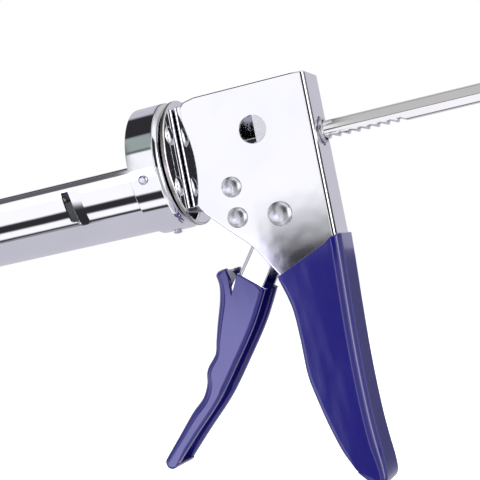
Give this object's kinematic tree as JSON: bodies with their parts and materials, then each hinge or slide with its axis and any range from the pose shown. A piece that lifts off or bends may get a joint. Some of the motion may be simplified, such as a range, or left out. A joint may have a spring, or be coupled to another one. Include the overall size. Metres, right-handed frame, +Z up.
{
  "type": "caulking gun",
  "caption": "Ratchet caulking gun: folded steel body with dipped handle and trigger, toothed push rod with hooked end and plunger, half-round cartridge cradle that swivels on the body",
  "frame": {"origin": "centre of the front face of the plunger's rivet, on the barrel axis, which pushes the cartridge's base", "axes": "+X along the barrel from the nose to the handle and hook, +Y to the gun's right side, +Z up, away from the handle"},
  "size_m": [0.402, 0.0578, 0.1794],
  "materials": {
    "chrome": "bright chrome-plated sheet steel",
    "zinc": "zinc-plated steel, satin",
    "steel": "bare pressed steel, lightly oiled",
    "spring": "drawn spring steel wire",
    "vinyl": "dipped vinyl, glossy dark blue"
  },
  "bodies": {
    "frame": {"body_frame": "chrome", "handle_grip": "vinyl", "front_plate": "chrome", "front_bracket": "steel", "swivel_bushing": "steel", "swivel_nut": "zinc", "swivel_washer": "spring", "trigger_rivet": "zinc", "trigger_spring": "spring", "holding_pawl_spring": "spring", "bracket_rivet_upper": "zinc", "bracket_rivet_lower": "zinc"},
    "cradle": {"rear_cup": "chrome", "barrel_trough": "chrome", "nose_plate": "chrome", "cup_rivet_left": "zinc", "cup_rivet_right": "zinc", "cup_rivet_bottom": "zinc", "nose_rivet_left": "zinc", "nose_rivet_right": "zinc", "nose_rivet_bottom": "zinc"},
    "rod_guide": {"rod_guide": "zinc"},
    "rod": {"push_rod": "chrome", "plunger_disc": "chrome", "plunger_backing": "zinc", "plunger_rivet": "zinc"},
    "trigger": {"trigger_lever": "chrome", "trigger_grip": "vinyl", "drive_pawl_pin": "steel", "drive_pawl_spring": "spring"},
    "drive_pawl": {"drive_pawl": "steel"},
    "holding_pawl": {"holding_pawl": "steel"}
  },
  "joints": [
    {"name": "cradle_turn", "type": "hinge", "parent": "frame", "child": "cradle", "pos_m": [0.17, 0, 0], "axis": [1, 0, 0], "continuous": true},
    {"name": "rod_turn", "type": "hinge", "parent": "frame", "child": "rod_guide", "pos_m": [0.235, 0, 0], "axis": [1, 0, 0], "continuous": true},
    {"name": "rod_slide", "type": "slide", "parent": "rod_guide", "child": "rod", "axis": [1, 0, 0], "range_m": [-0.058, 0.15]},
    {"name": "trigger_squeeze", "type": "hinge", "parent": "frame", "child": "trigger", "pos_m": [0.2127, 0, -0.0314], "axis": [0, -1, 0], "range_deg": [-9, 10.5], "stiffness_Nm_per_rad": 0.8, "springref_deg": -34.38, "deforming": ["trigger_spring"]},
    {"name": "drive_pawl_swing", "type": "hinge", "parent": "trigger", "child": "drive_pawl", "pos_m": [0.215, 0, -0.0142], "axis": [0, -1, 0], "range_deg": [-12, 10], "deforming": ["drive_pawl_spring"]},
    {"name": "holding_pawl_swing", "type": "hinge", "parent": "frame", "child": "holding_pawl", "pos_m": [0.1937, 0, -0.0157], "axis": [0, -1, 0], "range_deg": [0, 12], "stiffness_Nm_per_rad": 0.05, "springref_deg": -11.46, "deforming": ["holding_pawl_spring"]}
  ],
  "couplings": [
    {"joint": "drive_pawl_swing", "follows": "trigger_squeeze", "ratio": -1}
  ]
}
